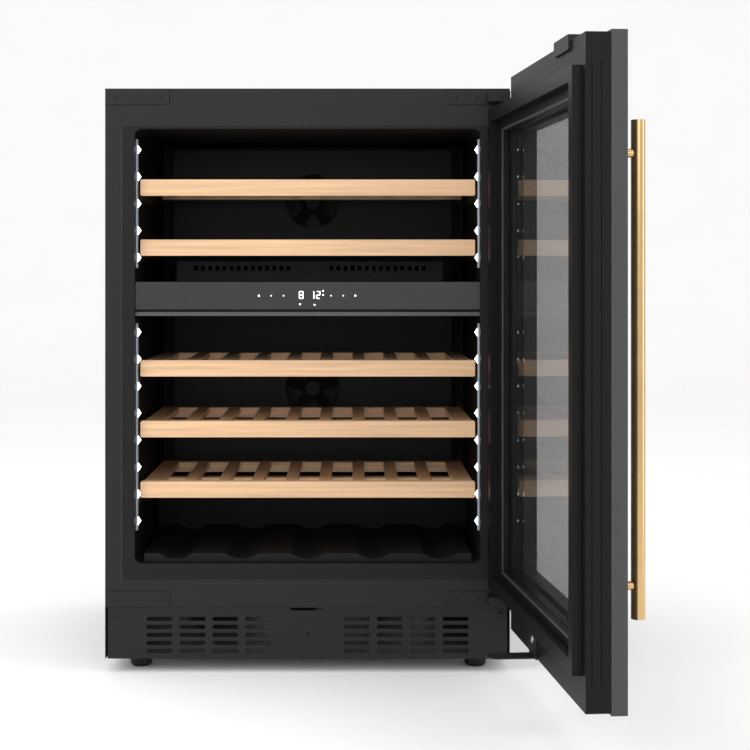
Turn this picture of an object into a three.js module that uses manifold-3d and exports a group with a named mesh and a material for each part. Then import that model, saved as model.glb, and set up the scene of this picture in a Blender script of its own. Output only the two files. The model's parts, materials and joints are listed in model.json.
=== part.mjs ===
// Built-in dual-zone wine cooler, glass door open on its right-hand hinges. Millimetres, +Z up.
// Working frame: X = 0 at the cabinet's middle, Y = 0 at its front plane, Z = 0 at the floor.
import * as THREE from "three";
import { mergeVertices } from "three/addons/utils/BufferGeometryUtils.js";
import Module from "manifold-3d";

const wasm = await Module();
wasm.setup();

// Cabinet
const WIDTH = 590;
const DEPTH = 525;
const TOP = 851;
const FOOT_HEIGHT = 20;
const SHEET = 1;
const GAP = 0.3;
const COLUMN = 24;
const TOP_RAIL = 54.6;
const GRILLE_HEIGHT = 75;
const BOTTOM_RAIL = 41;
const HALF = WIDTH / 2;
const FRAME_X = HALF - COLUMN;
const GRILLE_TOP = FOOT_HEIGHT + GRILLE_HEIGHT;
// Liner
const LINER_WALL = 2;
const FLANGE = 19;
const SIDE_MARGIN = 43;
const LINER_X = HALF - SIDE_MARGIN;
const LINER_TOP = 792.6;
const LINER_BOTTOM = 158.6;
const LINER_DEPTH = 393;
const HUMP_DEPTH = 320;
const HUMP_TOP = 250;
const LEDGE = 5;
// Zones
const FASCIA_TOP = 569;
const FASCIA_HEIGHT = 40;
const TRIM_HEIGHT = 5.5;
const TRIM_DROP = 4;
const FASCIA_SET_BACK = 6;
// Shelves
const SHELF_TOPS = [719, 631, 454, 365, 276.5];
const SHELF_FRONT_HEIGHT = 23.5;
const SHELF_FRONT_THICK = 14;
const SHELF_SET_BACK = 12;
const SHELF_SIDE_CLEAR = 7;
const RACK_DEPTH = 285;
const SLAT = 18;
const SLAT_PITCH = 50;
const SLAT_THICK = 8;
// Door
const DOOR_OVERHANG = 2;
const DOOR_WIDTH = WIDTH + 2 * DOOR_OVERHANG;
const DOOR_BOTTOM = 89;
const DOOR_HEIGHT = 766;
const PLATE_THICK = 19;
const BODY_THICK = 29;
const BODY_INSET = 3;
const DOOR_STAND_OFF = 14;
const BORDER = 72;
const PANE = 4;
const SPACER = 12.5;
const GLASS_SEAT = 14;
const NOTCH_LENGTH = 131;
const NOTCH_HEIGHT = 33;
const OPEN_ANGLE = 95;
const PIVOT_INSET = 15;
const PIVOT_X = DOOR_WIDTH / 2 - PIVOT_INSET;
const PIVOT_Y = -22.5;
const PIN_R = 4;
const PIN_CLEAR = 0.08;
const GASKET_INSET = 15;
const GASKET_X = DOOR_WIDTH / 2 - GASKET_INSET;
const GASKET_WIDTH = 18;
const GASKET_THICK = 12;
const GASKET_EDGE = 38;
// Handle
const BAR_R = 8.3;
const BAR_LENGTH = 574;
const POST_R = 5.3;
const POST_SPACING = 497;
const BAR_STAND_OFF = 27;
const BAR_FROM_EDGE = 60;
// Latch
const TONGUE_WIDTH = 30;
const TONGUE_REACH = 48;
const TONGUE_THICK = 2;
const TONGUE_Z = 91;
const SLOT_CLEAR = 1;
const SLOT_WIDTH = 50;
// Fans
const FAN_R = 42;
const FAN_CLEAR = 3;
const FAN_DEPTH = 14;

const look = (color, roughness, metalness = 0) => ({ color, roughness, metalness });
const BLACK = look("#242526", 0.6);
const CABINET = look("#2c2d2e", 0.55, 0.2);
const DOOR = look("#4c4d4f", 0.5, 0.3);
const INNER = look("#1b1c1d", 0.7);
const RUBBER = look("#121212", 0.9);
const BEECH = look("#cfa37a", 0.6);
const BRASS = look("#c99a4b", 0.25, 1);
const STEEL = look("#9da0a3", 0.4, 0.9);
const ZINC = look("#7c8084", 0.5, 0.8);
const FOAM = look("#d9cf9a", 0.95);
const CLEAR_GLASS = look("#39403f", 0.1);
const LIGHT = look("#f4f7fa", 0.4);

const root = new THREE.Group();
root.name = "wine_cooler";
const cabinet = new THREE.Group();
cabinet.position.set(0, -DEPTH / 2, -FOOT_HEIGHT);
root.add(cabinet);

// A three.js geometry as a manifold solid.
function solid(geometry) {
  const bare = geometry.clone();
  bare.deleteAttribute("normal");
  bare.deleteAttribute("uv");
  const merged = mergeVertices(bare, 1e-4);
  return new wasm.Manifold(
    new wasm.Mesh({
      numProp: 3,
      vertProperties: merged.attributes.position.array,
      triVerts: new Uint32Array(merged.index.array),
    }),
  );
}

// A manifold solid as a three.js geometry.
function geometryOf(body) {
  const mesh = body.getMesh();
  const geometry = new THREE.BufferGeometry();
  geometry.setAttribute("position", new THREE.BufferAttribute(mesh.vertProperties, 3));
  geometry.setIndex(new THREE.BufferAttribute(mesh.triVerts, 1));
  const flat = geometry.toNonIndexed();
  flat.computeVertexNormals();
  return flat;
}

function add(name, body, finish, parent = cabinet) {
  const material = new THREE.MeshStandardMaterial(finish);
  const mesh = new THREE.Mesh(geometryOf(body), material);
  mesh.name = name;
  parent.add(mesh);
  return mesh;
}

// A block given by its low and high corners.
function block(x0, x1, y0, y1, z0, z1) {
  const box = new THREE.BoxGeometry(x1 - x0, y1 - y0, z1 - z0);
  return solid(box.translate((x0 + x1) / 2, (y0 + y1) / 2, (z0 + z1) / 2));
}

// A round bar of a radius from one point to another.
function rod(radius, from, to, sides = 24) {
  const a = new THREE.Vector3(...from);
  const b = new THREE.Vector3(...to);
  const bar = new THREE.CylinderGeometry(radius, radius, a.distanceTo(b), sides);
  const turn = new THREE.Quaternion().setFromUnitVectors(
    new THREE.Vector3(0, 1, 0),
    b.clone().sub(a).normalize(),
  );
  return solid(bar.applyQuaternion(turn).translate(...a.add(b).divideScalar(2).toArray()));
}

// A flat plate in the XZ plane with rounded corners, from y0 to y1.
function plate(x0, x1, z0, z1, y0, y1, radius) {
  const shape = new THREE.Shape();
  shape.moveTo(x0 + radius, z0);
  shape.lineTo(x1 - radius, z0);
  shape.absarc(x1 - radius, z0 + radius, radius, -Math.PI / 2, 0);
  shape.lineTo(x1, z1 - radius);
  shape.absarc(x1 - radius, z1 - radius, radius, 0, Math.PI / 2);
  shape.lineTo(x0 + radius, z1);
  shape.absarc(x0 + radius, z1 - radius, radius, Math.PI / 2, Math.PI);
  shape.lineTo(x0, z0 + radius);
  shape.absarc(x0 + radius, z0 + radius, radius, Math.PI, Math.PI * 1.5);
  const made = new THREE.ExtrudeGeometry(shape, {
    depth: y1 - y0,
    bevelEnabled: false,
    curveSegments: 5,
  });
  return solid(made.rotateX(Math.PI / 2).translate(0, y1, 0));
}

const union = (bodies) => bodies.reduce((a, b) => a.add(b));
const cut = (body, tools) => tools.reduce((a, b) => a.subtract(b), body);
const sides = [
  ["left", -1],
  ["right", 1],
];

// A block mirrored to the side that sign names.
function sided(sign, x0, x1, y0, y1, z0, z1) {
  return sign > 0 ? block(x0, x1, y0, y1, z0, z1) : block(-x1, -x0, y0, y1, z0, z1);
}

// ---- Cabinet shell
for (const [side, sign] of sides) {
  const wall = sided(sign, HALF - SHEET, HALF, 0, DEPTH, FOOT_HEIGHT, TOP);
  const column = sided(sign, FRAME_X + GAP, HALF, 0, SHEET, GRILLE_TOP + GAP, TOP);
  const notch = sided(sign, HALF - SHEET - 1, HALF - 0.1 - SHEET / 2, -1, 4, 0, GRILLE_TOP);
  add(`side_panel_${side}`, cut(wall.add(column), [notch]), CABINET);
}
add(
  "top_panel",
  block(-HALF + SHEET + GAP, HALF - SHEET - GAP, SHEET + GAP, DEPTH, TOP - SHEET, TOP),
  CABINET,
);
const RAIL_BOTTOM = TOP - TOP_RAIL;
add("front_top_rail", block(-FRAME_X, FRAME_X, 0, SHEET, RAIL_BOTTOM + GAP, TOP), CABINET);
const BOTTOM_RAIL_TOP = GRILLE_TOP + BOTTOM_RAIL;
add(
  "front_bottom_rail",
  block(-FRAME_X, FRAME_X, 0, SHEET, GRILLE_TOP + GAP, BOTTOM_RAIL_TOP - GAP),
  CABINET,
);
const INSIDE_X = HALF - SHEET - GAP;
add(
  "rear_panel",
  block(-INSIDE_X, INSIDE_X, DEPTH - SHEET, DEPTH, HUMP_TOP + 2, TOP - SHEET - GAP),
  ZINC,
);
// A louvred cover closes the machine space at the back.
const MACHINE_BACK = DEPTH - SHEET;
const PAN_THICK = 2;
const PAN_TOP = FOOT_HEIGHT + PAN_THICK;
const louvres = [];
for (let row = 0; row < 5; row += 1)
  for (const x of [-190, -70, 50, 170])
    louvres.push(block(x - 40, x + 40, MACHINE_BACK - 2, DEPTH + 2, 70 + row * 30, 80 + row * 30));
const machineCover = block(-INSIDE_X, INSIDE_X, MACHINE_BACK, DEPTH, PAN_TOP + GAP, HUMP_TOP + 1.5);
const mainsInlet = block(215, 245, MACHINE_BACK, DEPTH + 16, 36, 58);
add("rear_machine_cover", cut(machineCover, louvres).add(mainsInlet), ZINC);
const FOOT_INSET = 47;
const FOOT_X = HALF - FOOT_INSET;
const FOOT_FRONT = 51;
const FOOT_REAR = 480;
const FOOT_STUD = 4;
const feet = [
  ["foot_front_left", -FOOT_X, FOOT_FRONT],
  ["foot_front_right", FOOT_X, FOOT_FRONT],
  ["foot_rear_left", -FOOT_X, FOOT_REAR],
  ["foot_rear_right", FOOT_X, FOOT_REAR],
];
const studHoles = feet.map(([, x, y]) => rod(FOOT_STUD + GAP, [x, y, 0], [x, y, 60]));
add(
  "base_pan",
  cut(block(-INSIDE_X, INSIDE_X, 8, MACHINE_BACK - GAP, FOOT_HEIGHT, PAN_TOP), studHoles),
  ZINC,
);
for (const [name, x, y] of feet) {
  const FOOT_R = 16;
  const profile = [
    [0, 0],
    [FOOT_R - 3, 0],
    [FOOT_R, 4],
    [FOOT_R, FOOT_HEIGHT - GAP],
    [FOOT_STUD, FOOT_HEIGHT - GAP],
    [FOOT_STUD, FOOT_HEIGHT + 18],
    [0, FOOT_HEIGHT + 18],
  ].map((p) => new THREE.Vector2(...p));
  const turned = new THREE.LatheGeometry(profile, 24).rotateX(Math.PI / 2);
  add(name, solid(turned).translate([x, y, 0]), BLACK);
}

// ---- Front grille with vents, latch slot and key hole
const GRILLE_INSET = 4;
const GRILLE_X = HALF - GRILLE_INSET;
const VENT = {
  width: 37,
  height: 6,
  pitchX: 48.1,
  pitchZ: 11.7,
  first: 53,
  top: 81,
  rows: 5,
  columns: 4,
};
const KEY_Z = 55;
const KEY_R = 3.4;
const LOCK_CLEAR = 0.1;
const vents = [];
for (const [, sign] of sides)
  for (let column = 0; column < VENT.columns; column += 1)
    for (let row = 0; row < VENT.rows; row += 1) {
      const x = VENT.first + column * VENT.pitchX;
      const z = VENT.top - row * VENT.pitchZ;
      vents.push(sided(sign, x, x + VENT.width, -2, 4, z - VENT.height, z));
    }
const latchSlot = block(
  -SLOT_WIDTH / 2,
  SLOT_WIDTH / 2,
  -2,
  4,
  TONGUE_Z - SLOT_CLEAR,
  TONGUE_Z + TONGUE_THICK + SLOT_CLEAR,
);
const grilleFace = block(-GRILLE_X, GRILLE_X, 0, 1.5, FOOT_HEIGHT, GRILLE_TOP);
const keyHole = rod(KEY_R + LOCK_CLEAR, [0, -2, KEY_Z], [0, 4, KEY_Z]);
add("front_grille", cut(grilleFace, [...vents, latchSlot, keyHole]), BLACK);
const lockBody = rod(KEY_R, [0, 0.2, KEY_Z], [0, 30, KEY_Z]);
const lockCam = block(-5, 5, 27, 30, KEY_Z - 3, KEY_Z + 26);
const keyway = block(-0.7, 0.7, -1, 8, KEY_Z - 2.2, KEY_Z + 2.2);
add("lock_cylinder", cut(lockBody.add(lockCam), [keyway]), STEEL);

// ---- Hinge plates, arms and their riveted pins on the right, covers over the spare holes on the left
const CAP_IN = 201;
const CAP_OUT = HALF - 1;
const CAP_THICK = 1.6;
const CAP_HEIGHT = 22.6;
const capRows = [
  ["upper", TOP - CAP_HEIGHT - 0.4],
  ["lower", GRILLE_TOP + 0.4],
];
const ARM_LOW = { upper: 829.5, lower: 100 };
const ARM_THICK = 15;
for (const [row, z] of capRows) {
  const z1 = z + CAP_HEIGHT;
  add(`hinge_hole_cover_${row}`, block(-CAP_OUT, -CAP_IN, -CAP_THICK, -GAP, z, z1), CABINET);
  const armZ = ARM_LOW[row];
  const seat = block(CAP_IN, CAP_OUT, -CAP_THICK, -GAP, z, z1);
  const arm = block(PIVOT_X - 20, PIVOT_X + 11, PIVOT_Y - 9, -GAP, armZ, armZ + ARM_THICK);
  const pinEnds = row === "upper" ? [armZ - 32, armZ + ARM_THICK] : [armZ, armZ + 47];
  const pin = rod(PIN_R, [PIVOT_X, PIVOT_Y, pinEnds[0]], [PIVOT_X, PIVOT_Y, pinEnds[1]]);
  add(`hinge_arm_${row}`, union([seat, arm, pin]), BLACK);
}

// ---- Liner with its flange, ledges and the step over the machine space
const cavity = (grow) =>
  union([
    plate(-LINER_X - grow, LINER_X + grow, LINER_BOTTOM - grow, LINER_TOP + grow, -2, HUMP_DEPTH + grow, 10 + grow),
    block(-LINER_X - grow, LINER_X + grow, HUMP_DEPTH - 20, LINER_DEPTH + grow, HUMP_TOP - grow, LINER_TOP + grow),
  ]);
const frontCut = block(-400, 400, -50, 0, 0, 900);
const ledges = [];
const ledgeDrop = SHELF_FRONT_HEIGHT - 3;
for (const [, sign] of sides)
  for (const top of SHELF_TOPS) {
    const z = top - ledgeDrop;
    ledges.push(sided(sign, LINER_X - LEDGE, LINER_X + 1, 30, HUMP_DEPTH - 4, z - 12, z));
  }
const flangePlate = block(
  -FRAME_X + GAP,
  FRAME_X - GAP,
  0,
  LINER_WALL,
  BOTTOM_RAIL_TOP,
  RAIL_BOTTOM,
);
const linerShell = cut(cavity(LINER_WALL).add(flangePlate), [cavity(0), frontCut]);
add("inner_liner", union([linerShell, ...ledges]), INNER);
const foamBlock = block(
  -INSIDE_X + GAP,
  INSIDE_X - GAP,
  LINER_WALL + GAP,
  DEPTH - SHEET - GAP,
  GRILLE_TOP + 4,
  TOP - SHEET - GAP,
);
const machineSpace = block(-400, 400, HUMP_DEPTH + 26, DEPTH + 5, 0, HUMP_TOP - 20);
add("insulation_foam", cut(foamBlock, [cavity(LINER_WALL + GAP), machineSpace]), FOAM);

// ---- Zone divider, fascia, display and trim
const FASCIA_BOTTOM = FASCIA_TOP - FASCIA_HEIGHT;
const FASCIA_THICK = 5;
const FASCIA_BACK = FASCIA_SET_BACK + FASCIA_THICK;
const DIVIDER_X = LINER_X - GAP;
const TRIM_BOTTOM = FASCIA_BOTTOM - TRIM_DROP - TRIM_HEIGHT;
add(
  "zone_divider",
  block(-DIVIDER_X, DIVIDER_X, FASCIA_BACK + GAP, LINER_DEPTH - GAP, TRIM_BOTTOM + 1, FASCIA_TOP - 1),
  INNER,
);
const DISPLAY_X = 78;
const DISPLAY_Z = 12;
const displayMid = FASCIA_TOP - FASCIA_HEIGHT / 2;
const displayPocket = block(
  -DISPLAY_X - GAP,
  DISPLAY_X + GAP,
  FASCIA_SET_BACK + 1,
  FASCIA_BACK + 1,
  displayMid - DISPLAY_Z - GAP,
  displayMid + DISPLAY_Z + GAP,
);
add(
  "control_fascia",
  cut(
    plate(-DIVIDER_X, DIVIDER_X, FASCIA_BOTTOM, FASCIA_TOP, FASCIA_SET_BACK, FASCIA_BACK, 1.5),
    [displayPocket],
  ),
  look("#101112", 0.25),
);
add(
  "display_board",
  block(
    -DISPLAY_X,
    DISPLAY_X,
    FASCIA_SET_BACK + 1 + GAP,
    FASCIA_BACK,
    displayMid - DISPLAY_Z,
    displayMid + DISPLAY_Z,
  ),
  look("#1c4a2c", 0.6),
);
add(
  "divider_trim",
  plate(-DIVIDER_X, DIVIDER_X, TRIM_BOTTOM, TRIM_BOTTOM + TRIM_HEIGHT, FASCIA_SET_BACK - 1, FASCIA_BACK, 1),
  look("#6b6d70", 0.4, 0.5),
);

// ---- Air outlet housing over the divider, with two groups of small slots
const HOUSING_X = 205;
const HOUSING_TOP = SHELF_TOPS[1] - SHELF_FRONT_HEIGHT - 8;
const HOUSING_FRONT = 150;
const outletSlots = [];
for (const [, sign] of sides)
  for (let i = 0; i < 14; i += 1)
    outletSlots.push(
      sided(sign, 30 + i * 11, 36 + i * 11, HOUSING_FRONT - 2, HOUSING_FRONT + 6, HOUSING_TOP - 14, HOUSING_TOP - 7),
    );
const COVER_FRONT = 345;
add(
  "air_outlet_housing",
  cut(block(-HOUSING_X, HOUSING_X, HOUSING_FRONT, COVER_FRONT - 2, FASCIA_TOP + GAP, HOUSING_TOP), [
    block(-HOUSING_X + 2, HOUSING_X - 2, HOUSING_FRONT + 2, COVER_FRONT, FASCIA_TOP - 1, HOUSING_TOP - 2),
    ...outletSlots,
  ]),
  BLACK,
);

// ---- Evaporators, their covers and fans
const fanHub = 12;
function rotor(x, y, z, radius, depth, blades) {
  const hub = rod(fanHub, [x, y, z], [x, y + depth, z]);
  const wing = [];
  for (let i = 0; i < blades; i += 1) {
    const blade = block(-9, 9, -1, 1, fanHub - 3, radius)
      .rotate([0, 0, 28])
      .rotate([0, (360 * i) / blades, 0])
      .translate([x, y + depth / 2, z]);
    wing.push(blade);
  }
  return union([hub, ...wing]);
}
const zones = [
  ["upper", FASCIA_TOP + 3, LINER_TOP - 8, 700],
  ["lower", HUMP_TOP + 6, TRIM_BOTTOM - 4, 390],
];
for (const [zone, low, high, fanZ] of zones) {
  const hole = rod(FAN_R + FAN_CLEAR, [0, COVER_FRONT - 2, fanZ], [0, COVER_FRONT + 4, fanZ], 32);
  add(`rear_duct_cover_${zone}`, cut(block(-230, 230, COVER_FRONT, COVER_FRONT + 2, low, high), [hole]), BLACK);
  add(`evaporator_fan_${zone}`, rotor(0, COVER_FRONT + 3, fanZ, FAN_R, FAN_DEPTH, 5), BLACK);
  const fins = [block(-180, 180, COVER_FRONT + 30, COVER_FRONT + 34, low + 12, high - 12)];
  for (let i = 0; i < 16; i += 1) {
    const x = -172 + i * 22.9;
    fins.push(block(x, x + 1.2, COVER_FRONT + 22, COVER_FRONT + 44, low + 16, high - 16));
  }
  add(`evaporator_${zone}`, union(fins), STEEL);
}

// ---- Lights in both side walls
const LIGHT_THICK = 2.4;
const lights = [
  ["upper", 590, 778],
  ["lower", 205, 508],
];
for (const [side, sign] of sides)
  for (const [zone, low, high] of lights) {
    const strip = sided(sign, LINER_X - GAP - LIGHT_THICK, LINER_X - GAP, 14, 24, low, high);
    add(`led_strip_${zone}_${side}`, strip, LIGHT);
  }

// ---- Shelves: a beech front rail on a slatted rack
const SHELF_X = LINER_X - SHELF_SIDE_CLEAR;
SHELF_TOPS.forEach((top, index) => {
  const number = index + 1;
  const low = top - SHELF_FRONT_HEIGHT;
  const back = SHELF_SET_BACK + SHELF_FRONT_THICK;
  const front = plate(-SHELF_X, SHELF_X, low, top, SHELF_SET_BACK, back, 2);
  add(`shelf_front_${number}`, front, BEECH);
  const rackTop = top - 2;
  const slatLow = rackTop - SLAT_THICK;
  const rackEnd = back + RACK_DEPTH;
  const pieces = [
    block(-SHELF_X + 2, SHELF_X - 2, back + GAP, back + 20, slatLow, rackTop),
    block(-SHELF_X + 2, SHELF_X - 2, rackEnd - 20, rackEnd, slatLow - 8, rackTop),
    block(-SHELF_X + 2, SHELF_X - 2, back + 110, back + 130, slatLow - 8, slatLow + 1),
  ];
  const count = Math.floor((2 * (SHELF_X - 2) - SLAT) / SLAT_PITCH);
  for (let i = 0; i <= count; i += 1) {
    const x = -((count * SLAT_PITCH) / 2) + i * SLAT_PITCH;
    pieces.push(block(x - SLAT / 2, x + SLAT / 2, back + 19, rackEnd - 19, slatLow, rackTop));
  }
  for (const [, sign] of sides)
    pieces.push(sided(sign, SHELF_X - 20, SHELF_X - 2, back + 19, rackEnd - 19, slatLow, rackTop));
  add(`shelf_rack_${number}`, union(pieces), BEECH);
});

// ---- Scalloped bottle tray on the liner's floor
const TRAY_X = LINER_X - 12;
const TROUGH_PITCH = 96.7;
const TROUGH_R = 40;
const TRAY_LOW = LINER_BOTTOM + GAP;
const TRAY_TOP = TRAY_LOW + 12;
const troughs = [];
for (let i = -2; i <= 2; i += 1) {
  const x = i * TROUGH_PITCH;
  const z = TRAY_LOW + 4 + TROUGH_R;
  troughs.push(rod(TROUGH_R, [x, 0, z], [x, HUMP_DEPTH, z], 40));
}
add(
  "bottle_tray",
  cut(block(-TRAY_X, TRAY_X, 16, HUMP_DEPTH - 12, TRAY_LOW, TRAY_TOP), troughs),
  INNER,
);

// ---- Machine space: compressor, condenser and fan, control box, drip tray
const COMPRESSOR = { x: -150, y: 432, r: 62, low: PAN_TOP + GAP, high: 188 };
const shellProfile = [
  [0, COMPRESSOR.low],
  [COMPRESSOR.r + 14, COMPRESSOR.low],
  [COMPRESSOR.r + 14, COMPRESSOR.low + 4],
  [COMPRESSOR.r, COMPRESSOR.low + 8],
  [COMPRESSOR.r, 120],
  [COMPRESSOR.r + 3, 122],
  [COMPRESSOR.r + 3, 128],
  [COMPRESSOR.r - 2, 130],
  [COMPRESSOR.r - 16, 172],
  [COMPRESSOR.r - 40, COMPRESSOR.high],
  [0, COMPRESSOR.high],
].map((p) => new THREE.Vector2(...p));
const compressorShell = new THREE.LatheGeometry(shellProfile, 32).rotateX(Math.PI / 2);
add("compressor", solid(compressorShell).translate([COMPRESSOR.x, COMPRESSOR.y, 0]), BLACK);
const CONDENSER_LOW = PAN_TOP + 6;
const condenserParts = [];
for (let i = 0; i < 9; i += 1)
  condenserParts.push(block(22 + i * 18, 23.4 + i * 18, 372, 408, CONDENSER_LOW, 170));
for (let i = 0; i < 4; i += 1) {
  const z = CONDENSER_LOW + 20 + i * 34;
  condenserParts.push(rod(4, [14, 390, z], [176, 390, z], 12));
}
add("condenser", union(condenserParts), STEEL);
const COND_FAN = { x: 95, y: 414, z: 99, r: 55 };
add("condenser_fan", rotor(COND_FAN.x, COND_FAN.y, COND_FAN.z, COND_FAN.r, 20, 6), BLACK);
const shroudRing = block(32, 158, 411, 437, 36, 162);
const shroudHole = rod(COND_FAN.r + FAN_CLEAR, [95, 400, 99], [95, 450, 99], 32);
add("condenser_fan_shroud", cut(shroudRing, [shroudHole]), BLACK);
add("control_box", block(190, 284, 372, 468, PAN_TOP + GAP, 120), look("#3a3c3f", 0.6));
add(
  "drip_tray",
  cut(block(-66, 8, 372, 500, PAN_TOP + GAP, 60), [block(-63, 5, 375, 497, PAN_TOP + 3, 70)]),
  BLACK,
);

// ---- Door, drawn shut and then swung open about its pins
const door = new THREE.Group();
door.position.set(PIVOT_X, PIVOT_Y, 0);
door.rotation.z = THREE.MathUtils.degToRad(OPEN_ANGLE);
const doorFrame = new THREE.Group();
doorFrame.position.set(-PIVOT_X, -PIVOT_Y, 0);
door.add(doorFrame);
cabinet.add(door);
const DOOR_X = DOOR_WIDTH / 2;
const DOOR_TOP = DOOR_BOTTOM + DOOR_HEIGHT;
const BODY_REAR = -DOOR_STAND_OFF;
const BODY_FRONT = BODY_REAR - BODY_THICK;
const PLATE_FRONT = BODY_FRONT - PLATE_THICK;
const WINDOW_X = DOOR_X - BORDER;
const WINDOW_LOW = DOOR_BOTTOM + BORDER;
const WINDOW_HIGH = DOOR_TOP - BORDER;
const onDoor = (name, body, finish) => add(name, body, finish, doorFrame);
onDoor(
  "door_front_plate",
  cut(block(-DOOR_X, DOOR_X, PLATE_FRONT, BODY_FRONT - GAP, DOOR_BOTTOM, DOOR_TOP), [
    block(-WINDOW_X, WINDOW_X, PLATE_FRONT - 5, BODY_REAR, WINDOW_LOW, WINDOW_HIGH),
  ]),
  DOOR,
);
const BODY_LOW = DOOR_BOTTOM + BODY_INSET;
const BODY_HIGH = DOOR_TOP - BODY_INSET;
const SEAT_DEPTH = 2 * PANE + SPACER + 4 * GAP;
const SEAT_X = WINDOW_X + GLASS_SEAT;
const GROOVE = 1.2;
const grooves = [BODY_REAR - 7, BODY_REAR - 18].flatMap((y) =>
  sides.map(([, sign]) =>
    sided(sign, DOOR_X - GROOVE, DOOR_X + 1, y - 0.8, y + 0.8, BODY_LOW + 32, BODY_HIGH - 32),
  ),
);
const notches = [
  block(DOOR_X - NOTCH_LENGTH, DOOR_X + 5, BODY_FRONT - 1, BODY_REAR + 5, BODY_HIGH - NOTCH_HEIGHT, DOOR_TOP),
  block(DOOR_X - NOTCH_LENGTH, DOOR_X + 5, BODY_FRONT - 1, BODY_REAR + 5, 0, BODY_LOW + NOTCH_HEIGHT),
];
const pinBores = [
  rod(PIN_R + PIN_CLEAR, [PIVOT_X, PIVOT_Y, BODY_HIGH - 60], [PIVOT_X, PIVOT_Y, BODY_HIGH]),
  rod(PIN_R + PIN_CLEAR, [PIVOT_X, PIVOT_Y, 0], [PIVOT_X, PIVOT_Y, BODY_LOW + 60]),
];
onDoor(
  "door_inner_frame",
  cut(block(-DOOR_X, DOOR_X, BODY_FRONT, BODY_REAR, BODY_LOW, BODY_HIGH), [
    block(-WINDOW_X, WINDOW_X, BODY_FRONT - 5, BODY_REAR + 5, WINDOW_LOW, WINDOW_HIGH),
    block(
      -SEAT_X,
      SEAT_X,
      BODY_FRONT - 5,
      BODY_FRONT + SEAT_DEPTH,
      WINDOW_LOW - GLASS_SEAT,
      WINDOW_HIGH + GLASS_SEAT,
    ),
    ...grooves,
    ...notches,
    ...pinBores,
  ]),
  BLACK,
);
const paneX = SEAT_X - GAP;
const paneLow = WINDOW_LOW - GLASS_SEAT + GAP;
const paneHigh = WINDOW_HIGH + GLASS_SEAT - GAP;
const outerPane = BODY_FRONT + GAP;
const spacerFront = outerPane + PANE + GAP;
const innerPane = spacerFront + SPACER + GAP;
onDoor("glass_outer", block(-paneX, paneX, outerPane, outerPane + PANE, paneLow, paneHigh), CLEAR_GLASS);
onDoor(
  "glass_spacer",
  cut(block(-paneX, paneX, spacerFront, spacerFront + SPACER, paneLow, paneHigh), [
    block(-paneX + 10, paneX - 10, -100, 0, paneLow + 10, paneHigh - 10),
  ]),
  STEEL,
);
onDoor("glass_inner", block(-paneX, paneX, innerPane, innerPane + PANE, paneLow, paneHigh), CLEAR_GLASS);
const gasketOuter = [DOOR_BOTTOM + GASKET_EDGE + 3, DOOR_TOP - GASKET_EDGE];
const gasketFront = BODY_REAR + GAP;
const gasketInset = GASKET_WIDTH;
onDoor(
  "door_gasket",
  cut(
    plate(-GASKET_X, GASKET_X, gasketOuter[0], gasketOuter[1], gasketFront, gasketFront + GASKET_THICK, 4),
    [
      plate(
        -GASKET_X + gasketInset,
        GASKET_X - gasketInset,
        gasketOuter[0] + gasketInset,
        gasketOuter[1] - gasketInset,
        -100,
        5,
        4,
      ),
    ],
  ),
  RUBBER,
);
const BAR_X = -DOOR_X + BAR_FROM_EDGE;
const BAR_Y = PLATE_FRONT - BAR_STAND_OFF;
const doorMid = DOOR_BOTTOM + DOOR_HEIGHT / 2;
const barEnds = [doorMid - BAR_LENGTH / 2, doorMid + BAR_LENGTH / 2];
const handleParts = [rod(BAR_R, [BAR_X, BAR_Y, barEnds[0]], [BAR_X, BAR_Y, barEnds[1]], 40)];
for (const [, sign] of sides) {
  const z = doorMid + (sign * POST_SPACING) / 2;
  handleParts.push(rod(POST_R, [BAR_X, BAR_Y, z], [BAR_X, PLATE_FRONT - GAP, z]));
}
onDoor("door_handle", union(handleParts), BRASS);
const TONGUE_FLANGE = 23;
const tongueFront = BODY_REAR + GAP;
const tongueParts = [
  block(-TONGUE_FLANGE, TONGUE_FLANGE, tongueFront, tongueFront + TONGUE_THICK, TONGUE_Z, TONGUE_Z + 35),
  block(
    -TONGUE_WIDTH / 2,
    TONGUE_WIDTH / 2,
    tongueFront,
    TONGUE_REACH - TONGUE_WIDTH / 2,
    TONGUE_Z,
    TONGUE_Z + TONGUE_THICK,
  ),
  rod(
    TONGUE_WIDTH / 2,
    [0, TONGUE_REACH - TONGUE_WIDTH / 2, TONGUE_Z],
    [0, TONGUE_REACH - TONGUE_WIDTH / 2, TONGUE_Z + TONGUE_THICK],
  ),
];
onDoor("latch_tongue", union(tongueParts), STEEL);
export default root;
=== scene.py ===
"""Wine cooler with its glass door open: materials, small details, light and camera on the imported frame."""
import json
import math

import bpy
from mathutils import Matrix, Vector


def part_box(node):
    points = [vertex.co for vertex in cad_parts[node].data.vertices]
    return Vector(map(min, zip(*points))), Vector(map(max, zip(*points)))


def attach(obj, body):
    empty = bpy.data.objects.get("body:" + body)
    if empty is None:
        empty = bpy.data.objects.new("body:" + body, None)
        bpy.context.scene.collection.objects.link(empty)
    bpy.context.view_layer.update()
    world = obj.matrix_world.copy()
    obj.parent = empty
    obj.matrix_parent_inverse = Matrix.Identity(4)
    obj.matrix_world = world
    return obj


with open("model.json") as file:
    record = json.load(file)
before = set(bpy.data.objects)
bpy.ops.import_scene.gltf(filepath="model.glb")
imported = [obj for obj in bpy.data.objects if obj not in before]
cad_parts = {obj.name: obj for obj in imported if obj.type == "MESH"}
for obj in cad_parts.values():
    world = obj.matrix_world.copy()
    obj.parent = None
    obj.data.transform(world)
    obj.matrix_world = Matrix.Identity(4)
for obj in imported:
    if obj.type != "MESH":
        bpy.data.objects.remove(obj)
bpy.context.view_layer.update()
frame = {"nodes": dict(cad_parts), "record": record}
NODES = frame["nodes"]
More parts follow.
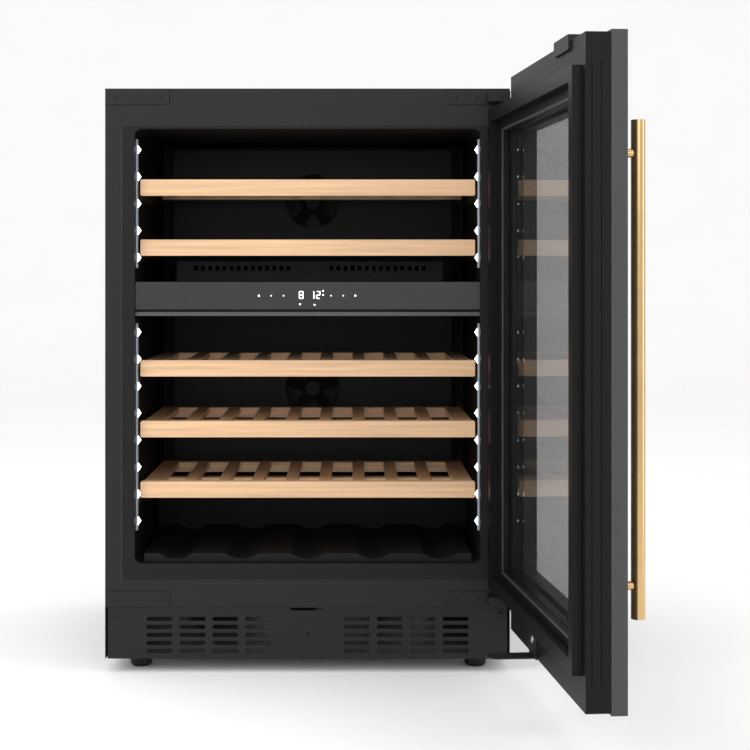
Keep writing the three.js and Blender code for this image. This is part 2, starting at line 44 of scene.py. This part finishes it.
FRONT_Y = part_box("front_top_rail")[0][1]
FLOOR_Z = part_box("foot_front_left")[0][2]

# ---- Camera: level, in front of the open door
SENSOR_WIDTH = 36
FRAME_PX = 750
FOCAL_PX = 1737.0
CAMERA_DISTANCE = 2.532
CAMERA_X = 0.062
EYE_HEIGHT = 0.5856
VIEW_SHIFT_X = 0.0333
VIEW_SHIFT_Y = -0.1392
camera_data = bpy.data.cameras.new("camera")
camera_data.sensor_width = SENSOR_WIDTH
camera_data.lens = SENSOR_WIDTH * FOCAL_PX / FRAME_PX
camera_data.shift_x = VIEW_SHIFT_X
camera_data.shift_y = VIEW_SHIFT_Y
camera = bpy.data.objects.new("camera", camera_data)
camera.location = (CAMERA_X, FRONT_Y - CAMERA_DISTANCE, FLOOR_Z + EYE_HEIGHT)
LEVEL = math.radians(90)
camera.rotation_euler = (LEVEL, 0, 0)
bpy.context.collection.objects.link(camera)
bpy.context.scene.camera = camera


# ---- Finishes
NOISE_DETAIL = 6
DARK_STOP = 0.3
LIGHT_STOP = 0.7
SMOOTHEST = 0.02
RELIEF_DEPTH = 0.0004


def finish(
    name,
    color,
    rough,
    metal=0.0,
    vary=0.15,
    scale=40.0,
    bump=0.1,
    rough_vary=0.1,
    stretch=(1, 1, 1),
    emit=0.0,
    coat=0.0,
    alpha=1.0,
    specular=0.5,
):
    """A procedural finish: one noise varies the colour and the roughness, and raises a fine bump."""
    material = bpy.data.materials.new(name)
    material.use_nodes = True
    tree = material.node_tree
    shader = tree.nodes["Principled BSDF"]
    shader.inputs["Metallic"].default_value = metal
    shader.inputs["Coat Weight"].default_value = coat
    shader.inputs["Alpha"].default_value = alpha
    shader.inputs["Specular IOR Level"].default_value = specular
    where = tree.nodes.new("ShaderNodeTexCoord")
    mapping = tree.nodes.new("ShaderNodeMapping")
    mapping.inputs["Scale"].default_value = stretch
    noise = tree.nodes.new("ShaderNodeTexNoise")
    noise.inputs["Scale"].default_value = scale
    noise.inputs["Detail"].default_value = NOISE_DETAIL
    tree.links.new(where.outputs["Object"], mapping.inputs["Vector"])
    tree.links.new(mapping.outputs["Vector"], noise.inputs["Vector"])
    ramp = tree.nodes.new("ShaderNodeValToRGB")
    low = [c * (1 - vary) for c in color]
    high = [min(1.0, c * (1 + vary)) for c in color]
    ramp.color_ramp.elements[0].position = DARK_STOP
    ramp.color_ramp.elements[1].position = LIGHT_STOP
    ramp.color_ramp.elements[0].color = (*low, 1)
    ramp.color_ramp.elements[1].color = (*high, 1)
    tree.links.new(noise.outputs["Fac"], ramp.inputs["Fac"])
    tree.links.new(ramp.outputs["Color"], shader.inputs["Base Color"])
    spread = tree.nodes.new("ShaderNodeMapRange")
    spread.inputs["To Min"].default_value = max(SMOOTHEST, rough - rough_vary)
    spread.inputs["To Max"].default_value = min(1.0, rough + rough_vary)
    tree.links.new(noise.outputs["Fac"], spread.inputs["Value"])
    tree.links.new(spread.outputs["Result"], shader.inputs["Roughness"])
    if emit:
        tree.links.new(ramp.outputs["Color"], shader.inputs["Emission Color"])
        shader.inputs["Emission Strength"].default_value = emit
    if bump:
        relief = tree.nodes.new("ShaderNodeBump")
        relief.inputs["Strength"].default_value = bump
        relief.inputs["Distance"].default_value = RELIEF_DEPTH
        tree.links.new(noise.outputs["Fac"], relief.inputs["Height"])
        tree.links.new(relief.outputs["Normal"], shader.inputs["Normal"])
    return material


# Columns: name, colour, roughness, metalness, colour variation, noise scale, bump, roughness variation.
FINISH = {
    "cabinet": finish("cabinet_powder_coat", (0.014, 0.0142, 0.0147), 0.5, 0.0, 0.1, 900, 0.25, specular=0.2),
    "door": finish("door_powder_coat", (0.05, 0.0505, 0.052), 0.5, 0.0, 0.07, 900, 0.2, specular=0.25),
    "inner": finish("moulded_liner", (0.006, 0.006, 0.0065), 0.5, 0.0, 0.15, 500, 0.2, specular=0.2),
    "frame": finish("door_inner_black", (0.006, 0.006, 0.0063), 0.45, 0.0, 0.12, 700, 0.15, specular=0.13),
    "rubber": finish("gasket_rubber", (0.004, 0.004, 0.004), 0.42, 0.0, 0.15, 300, 0.2, specular=0.16),
    "plastic": finish("black_plastic", (0.009, 0.009, 0.0095), 0.5, 0.0, 0.15, 400, 0.2, specular=0.25),
    "beech": finish("beech", (0.66, 0.42, 0.24), 0.5, 0.0, 0.16, 55, 0.2, 0.08, (0.12, 2.5, 4.0), coat=0.1),
    "brass": finish("polished_brass", (0.58, 0.39, 0.19), 0.22, 1.0, 0.04, 40, 0.0, 0.04, (1, 1, 1)),
    "steel": finish("plated_steel", (0.5, 0.5, 0.51), 0.35, 1.0, 0.12, 200, 0.1),
    "coated": finish("coated_fins", (0.012, 0.012, 0.013), 0.5, 0.0, 0.15, 200, 0.1, specular=0.25),
    "zinc": finish("galvanised_sheet", (0.36, 0.37, 0.38), 0.5, 0.9, 0.25, 60, 0.1),
    "foam": finish("foam", (0.7, 0.62, 0.36), 0.9, 0.0, 0.15, 150, 0.6),
    "gloss": finish("gloss_fascia", (0.006, 0.006, 0.007), 0.16, 0.0, 0.1, 60, 0.0, 0.04, coat=0.4),
    "grey": finish("grey_trim", (0.07, 0.07, 0.075), 0.35, 0.3, 0.1, 300, 0.1),
    "board": finish("circuit_board", (0.02, 0.12, 0.05), 0.5, 0.0, 0.3, 500, 0.2),
    "diffuser": finish("light_diffuser", (0.35, 0.38, 0.42), 0.4, 0.0, 0.08, 300, 0.05),
    "glow": finish("light_glow", (0.9, 0.95, 1.0), 0.4, 0.0, 0.03, 100, 0.0, emit=5.0),
    "digits": finish("display_glow", (0.85, 0.92, 1.0), 0.4, 0.0, 0.03, 100, 0.0, emit=2.5),
    "glass": finish(
        "tinted_glass", (0.02, 0.021, 0.021), 0.01, 0.0, 0.04, 8, 0.0, 0.003, alpha=0.24, specular=0.8
    ),
    "grille": finish("grille_coat", (0.011, 0.011, 0.0115), 0.6, 0.0, 0.1, 900, 0.25, specular=0.25),
}
# The glass hides more of what is behind it, and mirrors more, at grazing angles.
GLASS_IOR = 1.5
CLEAREST_ALPHA = 0.1
GRAZING_ALPHA = 0.42
glass_tree = FINISH["glass"].node_tree
fresnel = glass_tree.nodes.new("ShaderNodeFresnel")
fresnel.inputs["IOR"].default_value = GLASS_IOR
veil = glass_tree.nodes.new("ShaderNodeMapRange")
veil.inputs["To Min"].default_value = CLEAREST_ALPHA
veil.inputs["To Max"].default_value = GRAZING_ALPHA
glass_tree.links.new(fresnel.outputs["Fac"], veil.inputs["Value"])
glass_tree.links.new(veil.outputs["Result"], glass_tree.nodes["Principled BSDF"].inputs["Alpha"])
NODE_FINISH = {
    "base_pan": "zinc",
    "bottle_tray": "inner",
    "condenser": "steel",
    "control_fascia": "gloss",
    "display_board": "board",
    "divider_trim": "grey",
    "door_front_plate": "door",
    "door_gasket": "rubber",
    "door_handle": "brass",
    "door_inner_frame": "frame",
    "front_grille": "grille",
    "glass_spacer": "frame",
    "inner_liner": "inner",
    "insulation_foam": "foam",
    "rear_machine_cover": "zinc",
    "rear_panel": "zinc",
    "zone_divider": "inner",
}
# The first prefix that fits a node's name gives its finish; any other node is black plastic.
PREFIX_FINISH = (
    ("shelf_", "beech"),
    ("led_strip", "diffuser"),
    ("side_panel", "cabinet"),
    ("top_panel", "cabinet"),
    ("front_", "cabinet"),
    ("hinge_hole", "cabinet"),
    ("evaporator_fan", "plastic"),
    ("evaporator_", "coated"),
    ("glass_", "glass"),
)


def finish_of(node):
    if node in NODE_FINISH:
        return NODE_FINISH[node]
    return next((look for prefix, look in PREFIX_FINISH if node.startswith(prefix)), "plastic")


THIN_EDGE = 0.0003
SOFT_EDGE = {
    "door_front_plate": 0.0012,
    "door_gasket": 0.003,
    "door_handle": 0.001,
    "door_inner_frame": 0.0015,
}
EDGE_STEPS = 2
SHARPEST_KEPT = math.radians(35)
UNEASED = ("evaporator", "condenser")
for name, obj in NODES.items():
    obj.data.materials.clear()
    obj.data.materials.append(FINISH[finish_of(name)])
    if name.startswith(UNEASED):
        continue
    bevel = obj.modifiers.new("edge", "BEVEL")
    bevel.width = SOFT_EDGE.get(name, THIN_EDGE)
    bevel.segments = EDGE_STEPS
    bevel.limit_method = "ANGLE"
    bevel.angle_limit = SHARPEST_KEPT


def piece(name, verts, faces, look, body, slot):
    """A mesh that rides on a body and takes one of the finishes above; the slot is not used."""
    mesh = bpy.data.meshes.new(name)
    mesh.from_pydata([tuple(v) for v in verts], [], faces)
    mesh.validate()
    mesh.materials.append(FINISH[look])
    obj = bpy.data.objects.new(name, mesh)
    bpy.context.collection.objects.link(obj)
    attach(obj, body)


def prism(outline, y0, y1):
    """Vertices and faces of an outline in XZ, drawn out from y0 (front) to y1."""
    count = len(outline)
    verts = [(x, y, z) for y in (y0, y1) for x, z in outline]
    faces = [tuple(range(count)), tuple(reversed(range(count, 2 * count)))]
    for i in range(count):
        j = (i + 1) % count
        faces.append((i, i + count, j + count, j))
    return verts, faces


def join(parts):
    """Several (verts, faces) as one."""
    verts, faces = [], []
    for more, loops in parts:
        base = len(verts)
        verts += more
        faces += [tuple(base + i for i in loop) for loop in loops]
    return verts, faces


def ring(x, z, radius, sides):
    """A circle's points in XZ."""
    return [
        (x + radius * math.cos(math.tau * i / sides), z + radius * math.sin(math.tau * i / sides))
        for i in range(sides)
    ]


def rectangle(x0, x1, z0, z1):
    """A rectangle's corners in XZ."""
    return [(x0, z0), (x1, z0), (x1, z1), (x0, z1)]


# ---- Display: seven-segment digits, touch dots and small key marks
fascia_low, fascia_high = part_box("control_fascia")
CLEAR_OF_FACE = 0.00005
MARK_Y = fascia_low[1] - 0.0003
MARK_BACK = fascia_low[1] - CLEAR_OF_FACE
DISPLAY_RISE = 0.001
display_z = (fascia_low[2] + fascia_high[2]) / 2 + DISPLAY_RISE
DIGIT_HEIGHT = 0.0112
DIGIT_WIDTH = 0.0062
STROKE = 0.0012
SEGMENT_GAP = 0.2
SEGMENTS = {"8": "abcdefg", "1": "bc", "2": "abged"}
DIGITS = (("8", -0.0125), ("1", 0.0035), ("2", 0.0125))
DOT_SIDES = 12
LARGE_DOT = 0.0013
SMALL_DOT = 0.0009
KEY_MARK = 0.0012
TOUCH_DOTS = (
    (-0.0713, LARGE_DOT),
    (-0.0532, SMALL_DOT),
    (-0.0351, SMALL_DOT),
    (0.0345, SMALL_DOT),
    (0.0522, SMALL_DOT),
    (0.0697, LARGE_DOT),
)
KEY_MARKS = ((0.0226, 0.006), (0.0226, 0.0), (-0.011, -0.0135), (0.0102, -0.0145))


def digit(value, x, z):
    """One seven-segment digit whose lower left corner is at x, z."""
    h, w, s = DIGIT_HEIGHT, DIGIT_WIDTH, STROKE
    gap = s * SEGMENT_GAP
    bars = {
        "a": (s, w - s, h - s, h),
        "b": (w - s, w, h / 2 + gap, h - gap),
        "c": (w - s, w, gap, h / 2 - gap),
        "d": (s, w - s, 0, s),
        "e": (0, s, gap, h / 2 - gap),
        "f": (0, s, h / 2 + gap, h - gap),
        "g": (s, w - s, h / 2 - s / 2, h / 2 + s / 2),
    }
    return [
        prism(rectangle(x + x0, x + x1, z + z0, z + z1), MARK_Y, MARK_BACK)
        for x0, x1, z0, z1 in (bars[key] for key in SEGMENTS[value])
    ]


def dot(x, z, radius):
    return prism(ring(x, z, radius, DOT_SIDES), MARK_Y, MARK_BACK)


marks = []
for value, x in DIGITS:
    marks += digit(value, x, display_z - DIGIT_HEIGHT / 2)
marks += [dot(x, display_z - 0.001, radius) for x, radius in TOUCH_DOTS]
marks += [dot(x, display_z + z, KEY_MARK) for x, z in KEY_MARKS]
piece("display_marks", *join(marks), "digits", "cabinet", "light_diffuser")

# ---- Small bright lenses down each light strip
LENS_PITCH = 0.0396
LENS_HALF = 0.006
LENS_TIP = 0.0042
LENS_ROOT = 0.0001
LENS_INSET = 0.0015
STRIP_MARGIN = 0.012
WEDGE_FACES = [(0, 1, 2), (5, 4, 3), (0, 3, 4, 1), (1, 4, 5, 2), (2, 5, 3, 0)]
for zone in ("upper", "lower"):
    for side, sign in (("left", -1), ("right", 1)):
        low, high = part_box(f"led_strip_{zone}_{side}")
        inner = high[0] if sign < 0 else low[0]
        tip = inner - sign * LENS_TIP
        root = inner - sign * LENS_ROOT
        depth = (low[1] + LENS_INSET, high[1] - LENS_INSET)
        wedge = WEDGE_FACES if sign < 0 else [tuple(reversed(f)) for f in WEDGE_FACES]
        count = int((high[2] - low[2] - STRIP_MARGIN) / LENS_PITCH) + 1
        start = (low[2] + high[2]) / 2 - (count - 1) * LENS_PITCH / 2
        lenses = []
        for i in range(count):
            z = start + i * LENS_PITCH
            corners = ((root, z - LENS_HALF), (root, z + LENS_HALF), (tip, z))
            lenses.append(([(px, py, pz) for py in depth for px, pz in corners], wedge))
        piece(f"led_lenses_{zone}_{side}", *join(lenses), "glow", "cabinet", "light_diffuser")


# ---- Screws: plain domed heads
DOME_REACH = 0.9


def screw(x, z, y, radius, height):
    """A domed head on a surface at y that faces the front."""
    rings = 4
    sides = 16
    verts = [(px, y, pz) for px, pz in ring(x, z, radius, sides)]
    for r in range(1, rings + 1):
        turn = r / rings * math.pi / 2 * DOME_REACH
        verts += [
            (px, y - height * math.sin(turn), pz)
            for px, pz in ring(x, z, radius * math.cos(turn), sides)
        ]
    faces = [tuple(range(sides))]
    for r in range(rings):
        for i in range(sides):
            j = (i + 1) % sides
            a, b = r * sides, (r + 1) * sides
            faces.append((a + i, b + i, b + j, a + j))
    faces.append(tuple(reversed(range(rings * sides, (rings + 1) * sides))))
    return verts, faces


GRILLE_SCREWS = ((-0.281, 0.083), (0.280, 0.083), (0.280, 0.026))
GRILLE_HEAD = (0.0048, 0.0016)
grille_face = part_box("front_grille")[0][1] - CLEAR_OF_FACE
heads = [screw(x, FLOOR_Z + z, grille_face, *GRILLE_HEAD) for x, z in GRILLE_SCREWS]
piece("grille_screws", *join(heads), "plastic", "cabinet", "plated_steel")
CAP_THICK = 0.0016
CAP_MIDDLE = 0.0113
CAP_HEAD = (0.0042, 0.0010)
CAP_SCREWS = {"hinge_arm": (0.215, 0.245), "hinge_hole_cover": (-0.215, -0.280)}
cap_face = FRONT_Y - CAP_THICK - CLEAR_OF_FACE
for row in ("upper", "lower"):
    for kind, spots in CAP_SCREWS.items():
        low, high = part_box(f"{kind}_{row}")
        z = high[2] - CAP_MIDDLE if row == "upper" else low[2] + CAP_MIDDLE
        heads = [screw(x, z, cap_face, *CAP_HEAD) for x in spots]
        piece(f"{kind}_{row}_screws", *join(heads), "plastic", "cabinet", "plated_steel")

# ---- Door details, laid out on the shut door and swung with it
hinge = next(j for j in frame["record"]["behaviour"]["joints"] if j["name"] == "door_hinge")
pivot = Vector(hinge["pos_m"])
opened = math.radians(-hinge["range_deg"][0])
SWING = (
    Matrix.Translation((pivot.x, pivot.y, 0))
    @ Matrix.Rotation(opened, 4, "Z")
    @ Matrix.Translation((-pivot.x, -pivot.y, 0))
)
STAND_OFF = 0.014
INNER_FACE = FRONT_Y - STAND_OFF
DOOR_LOW, DOOR_HIGH = (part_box("door_front_plate")[i][2] for i in (0, 1))


def on_door(name, shape, look, slot):
    """A piece drawn on the shut door, turned to where the open door stands."""
    verts, faces = shape
    piece(name, [SWING @ Vector(v) for v in verts], faces, look, "door", slot)


SLAB_EASE = 0.0008


def slab(x0, x1, y0, y1, z0, z1):
    """A block whose long edges are eased, as (verts, faces)."""
    ease = SLAB_EASE
    outline = [
        (x0 + ease, z0), (x1 - ease, z0), (x1, z0 + ease), (x1, z1 - ease),
        (x1 - ease, z1), (x0 + ease, z1), (x0, z1 - ease), (x0, z0 + ease),
    ]
    return prism(outline, y0, y1)


TRIM_X = 0.2255
TRIM_BORDER = 0.0715
TRIM_LOW, TRIM_HIGH = DOOR_LOW + TRIM_BORDER, DOOR_HIGH - TRIM_BORDER
TRIM_WIDE = 0.0028
trim_y = (INNER_FACE + 0.0001, INNER_FACE + 0.0016)
glazing_trim = join([
    slab(-TRIM_X - TRIM_WIDE, -TRIM_X, *trim_y, TRIM_LOW, TRIM_HIGH),
    slab(TRIM_X, TRIM_X + TRIM_WIDE, *trim_y, TRIM_LOW, TRIM_HIGH),
    slab(-TRIM_X - TRIM_WIDE, TRIM_X + TRIM_WIDE, *trim_y, TRIM_LOW - TRIM_WIDE, TRIM_LOW),
    slab(-TRIM_X - TRIM_WIDE, TRIM_X + TRIM_WIDE, *trim_y, TRIM_HIGH, TRIM_HIGH + TRIM_WIDE),
])
on_door("glazing_trim", glazing_trim, "grey", "trim_grey")
TONGUE_FACE = INNER_FACE + 0.0024
LATCH_HEAD = (0.0055, 0.002)
LATCH_SCREW_RISE = 0.024
head_verts, head_faces = screw(0, DOOR_LOW + LATCH_SCREW_RISE, 0, *LATCH_HEAD)
head_verts = [(-x, TONGUE_FACE - y, z) for x, y, z in head_verts]
on_door("latch_screw", (head_verts, head_faces), "steel", "plated_steel")
PLUG_X = (-0.222, -0.140)
PLUG_Y = (FRONT_Y - 0.034, FRONT_Y - 0.0105)
PLUG_Z = (DOOR_HIGH - 0.014, DOOR_HIGH + 0.004)
on_door("door_top_plug", slab(*PLUG_X, *PLUG_Y, *PLUG_Z), "plastic", "black_plastic")

# ---- Stage: a pale floor that sweeps up behind, and soft studio light
SWEEP_FRONT = -9.0
SWEEP_START = 5.0
SWEEP_RADIUS = 2.5
SWEEP_STEPS = 12
SWEEP_TOP = 12.0
SWEEP_SIDES = (-12, 12)
UNDER_FEET = 0.0002
profile = [(SWEEP_FRONT, 0.0)]
for i in range(SWEEP_STEPS + 1):
    turn = i * math.pi / (2 * SWEEP_STEPS)
    profile.append((SWEEP_START + SWEEP_RADIUS * math.sin(turn), SWEEP_RADIUS * (1 - math.cos(turn))))
profile.append((SWEEP_START + SWEEP_RADIUS, SWEEP_TOP))
sweep_verts = [(x, y, FLOOR_Z - UNDER_FEET + z) for x in SWEEP_SIDES for y, z in profile]
span = len(profile)
sweep_faces = [(i, i + span, i + span + 1, i + 1) for i in range(span - 1)]
sweep_mesh = bpy.data.meshes.new("studio_floor")
sweep_mesh.from_pydata(sweep_verts, [], sweep_faces)
pale = finish("studio_floor", (0.93, 0.93, 0.93), 0.9, 0.0, 0.01, 3, 0.0, specular=0.1)
sweep_mesh.materials.append(pale)
for face in sweep_mesh.polygons:
    face.use_smooth = True
floor = bpy.data.objects.new("studio_floor", sweep_mesh)
bpy.context.collection.objects.link(floor)
world = bpy.data.worlds.new("studio")
bpy.context.scene.world = world
world.use_nodes = True
world.node_tree.nodes["Background"].inputs["Color"].default_value = (1, 1, 1, 1)
world.node_tree.nodes["Background"].inputs["Strength"].default_value = 1.0
bpy.context.scene.view_settings.view_transform = "Standard"


def area_light(name, place, target, size, power):
    """A rectangular lamp at a place, turned to a target."""
    data = bpy.data.lights.new(name, "AREA")
    data.shape = "RECTANGLE"
    data.size, data.size_y = size
    data.energy = power
    lamp = bpy.data.objects.new(name, data)
    lamp.location = place
    lamp.rotation_euler = (Vector(target) - Vector(place)).to_track_quat("-Z", "Y").to_euler()
    bpy.context.collection.objects.link(lamp)


area_light("key_left", (-2.4, -2.2, 1.9), (0, -0.2, 0.4), (1.4, 2.0), 38)
area_light("fill_front", (0.3, -3.4, 1.4), (0, 0, 0.4), (2.2, 1.2), 14)
area_light("strip_right", (2.4, -1.2, 1.0), (0.35, -0.5, 0.4), (0.5, 2.2), 12)
area_light("top_soft", (0, -0.6, 2.6), (0, -0.2, 0.4), (2.0, 2.0), 12)
